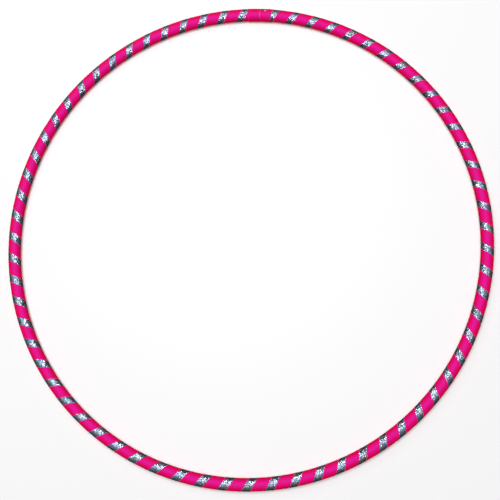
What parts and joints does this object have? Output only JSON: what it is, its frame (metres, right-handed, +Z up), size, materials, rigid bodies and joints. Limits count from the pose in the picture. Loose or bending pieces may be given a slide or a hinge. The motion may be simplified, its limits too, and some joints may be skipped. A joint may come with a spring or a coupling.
{
  "type": "collapsible fitness hoop",
  "caption": "Open ring of springy plastic tube, wound in a helix with pink cloth tape and silver glitter tape, with a snap-button connector at its seam.",
  "frame": {"origin": "on the floor at the centre of the ring, which lies flat", "axes": "+Z up, the ring's axis; +Y towards the seam where the tube's ends meet; +X completes the set, the riveted end being on the +X side of the seam"},
  "size_m": [1.016, 1.017, 0.0266],
  "materials": {
    "tube_plastic": "extruded black polyethylene",
    "insert_plastic": "smooth grey pipe plastic",
    "button_steel": "nickel plated",
    "spring_steel": "blued spring strip",
    "glitter_film": "holographic glitter film",
    "grip_cloth": "woven cloth tape, fluorescent pink",
    "rivet_aluminium": "plain domed blind rivet",
    "mandrel_steel": "snapped stem"
  },
  "bodies": {
    "hoop": {"hoop_tube": "tube_plastic", "connector_insert": "insert_plastic", "button_spring": "spring_steel", "glitter_tape": "glitter_film", "grip_tape": "grip_cloth", "end_wrap_fixed": "grip_cloth", "end_wrap_free": "grip_cloth", "near_rivet_body": "rivet_aluminium", "near_rivet_mandrel": "mandrel_steel", "far_rivet_body": "rivet_aluminium", "far_rivet_mandrel": "mandrel_steel"},
    "button": {"snap_button": "button_steel"}
  },
  "joints": [
    {"name": "button_press", "type": "slide", "parent": "hoop", "child": "button", "axis": [0.0364, -0.9993, 0], "range_m": [0, 0.0043], "stiffness_N_per_m": 1500, "springref_m": -0.004, "deforming": ["button_spring"]}
  ]
}
